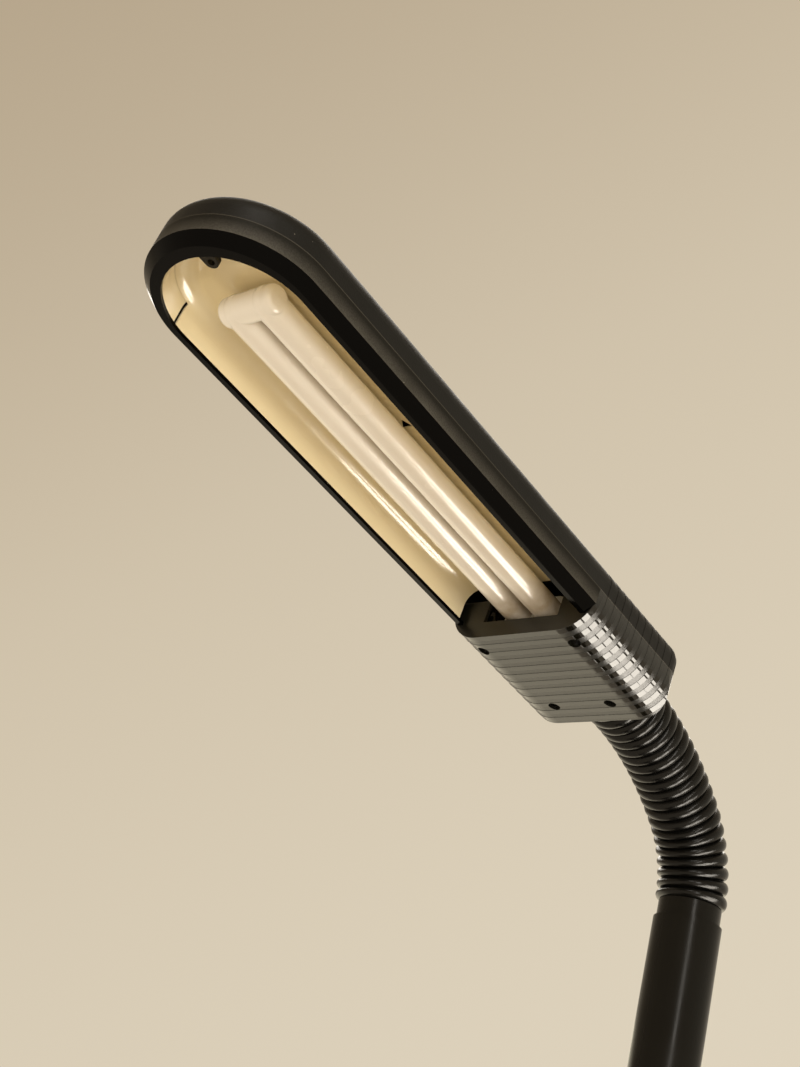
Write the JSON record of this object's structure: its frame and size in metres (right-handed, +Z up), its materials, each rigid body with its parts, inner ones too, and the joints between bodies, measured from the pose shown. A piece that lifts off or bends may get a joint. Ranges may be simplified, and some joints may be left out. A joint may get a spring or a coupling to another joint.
{
  "type": "table lamp",
  "caption": "Desk lamp with a weighted base, a tube stem, a ribbed flexible neck and a long flat black head that holds a compact fluorescent lamp under a cream reflector.",
  "frame": {"origin": "middle of the base's underside, on the table", "axes": "+Z up, +X the way the head points at rest, +Y the lamp's left"},
  "size_m": [0.4463, 0.124, 0.4065],
  "materials": {
    "pad_rubber": "matt",
    "plated_steel": "zinc plated",
    "black_moulding": "satin, finely textured",
    "core_iron": "varnished laminations",
    "weight_iron": "as cast",
    "white_moulding": "satin",
    "black_paint": "satin black",
    "sleeve_rubber": "satin",
    "lead_sheath": "satin",
    "link_steel": "phosphated",
    "banded_moulding": "alternate gloss and matt bands",
    "cream_enamel": "gloss cream",
    "pin_brass": "bright",
    "coated_glass": "gloss over a white coating"
  },
  "bodies": {
    "root": {"foot_pad": "pad_rubber", "base_plate": "plated_steel", "base_screws": "plated_steel", "base_shell": "black_moulding", "choke": "core_iron", "counterweight": "weight_iron", "terminal_block": "white_moulding", "cord_inlet": "pad_rubber", "switch_body": "black_moulding", "stem_flange": "plated_steel", "flange_screws": "plated_steel", "stem_bush": "black_moulding", "stem_tube": "black_paint", "neck_collar": "black_paint", "neck_sleeve": "sleeve_rubber", "lamp_lead": "lead_sheath"},
    "rocker": {"switch_rocker": "black_moulding"},
    "link_1": {"neck_link_1": "link_steel"},
    "link_2": {"neck_link_2": "link_steel"},
    "link_3": {"neck_link_3": "link_steel"},
    "link_4": {"neck_link_4": "link_steel"},
    "link_5": {"neck_link_5": "link_steel"},
    "link_6": {"neck_link_6": "link_steel"},
    "link_7": {"neck_link_7": "link_steel"},
    "head": {"neck_socket": "plated_steel", "socket_nut": "plated_steel", "top_shell": "black_moulding", "shade_rim": "black_moulding", "bottom_cover": "banded_moulding", "cover_screws": "plated_steel", "reflector": "cream_enamel", "reflector_end": "cream_enamel", "lamp_holder": "black_moulding"},
    "lamp": {"lamp_base": "white_moulding", "lamp_pins": "pin_brass", "lamp_tubes": "coated_glass"}
  },
  "joints": [
    {"name": "switch_rock", "type": "hinge", "parent": "root", "child": "rocker", "pos_m": [0.042, 0, 0.0404], "axis": [0, 1, 0], "range_deg": [0, 16]},
    {"name": "neck_bend_1", "type": "hinge", "parent": "root", "child": "link_1", "pos_m": [-0.04919, 0, 0.28945], "axis": [0, 1, 0], "range_deg": [-12.5, 7.5], "deforming": ["neck_sleeve", "lamp_lead"]},
    {"name": "neck_bend_2", "type": "hinge", "parent": "link_1", "child": "link_2", "pos_m": [-0.04375, 0, 0.3047], "axis": [0, 1, 0], "range_deg": [-12.5, 7.5], "deforming": ["neck_sleeve", "lamp_lead"]},
    {"name": "neck_sway_1", "type": "hinge", "parent": "link_2", "child": "link_3", "pos_m": [-0.03373, 0, 0.31741], "axis": [0.6746, 0, -0.7382], "range_deg": [-20, 20], "deforming": ["neck_sleeve", "lamp_lead"]},
    {"name": "neck_bend_3", "type": "hinge", "parent": "link_3", "child": "link_4", "pos_m": [-0.02086, 0, 0.32733], "axis": [0, 1, 0], "range_deg": [-12.5, 7.5], "deforming": ["neck_sleeve", "lamp_lead"]},
    {"name": "neck_bend_4", "type": "hinge", "parent": "link_4", "child": "link_5", "pos_m": [-0.00691, 0, 0.33568], "axis": [0, 1, 0], "range_deg": [-12.5, 7.5], "deforming": ["neck_sleeve", "lamp_lead"]},
    {"name": "neck_sway_2", "type": "hinge", "parent": "link_5", "child": "link_6", "pos_m": [0.00791, 0, 0.34234], "axis": [0.3567, 0, -0.9342], "range_deg": [-20, 20], "deforming": ["neck_sleeve", "lamp_lead"]},
    {"name": "neck_bend_5", "type": "hinge", "parent": "link_6", "child": "link_7", "pos_m": [0.0234, 0, 0.34725], "axis": [0, 1, 0], "range_deg": [-12.5, 7.5], "deforming": ["neck_sleeve", "lamp_lead"]},
    {"name": "neck_bend_6", "type": "hinge", "parent": "link_7", "child": "head", "pos_m": [0.03936, 0, 0.35033], "axis": [0, 1, 0], "range_deg": [-12.5, 7.5], "deforming": ["neck_sleeve", "lamp_lead"]},
    {"name": "lamp_unplug", "type": "slide", "parent": "head", "child": "lamp", "axis": [0.9903, 0, 0.1392], "range_m": [0, 0.011]}
  ]
}
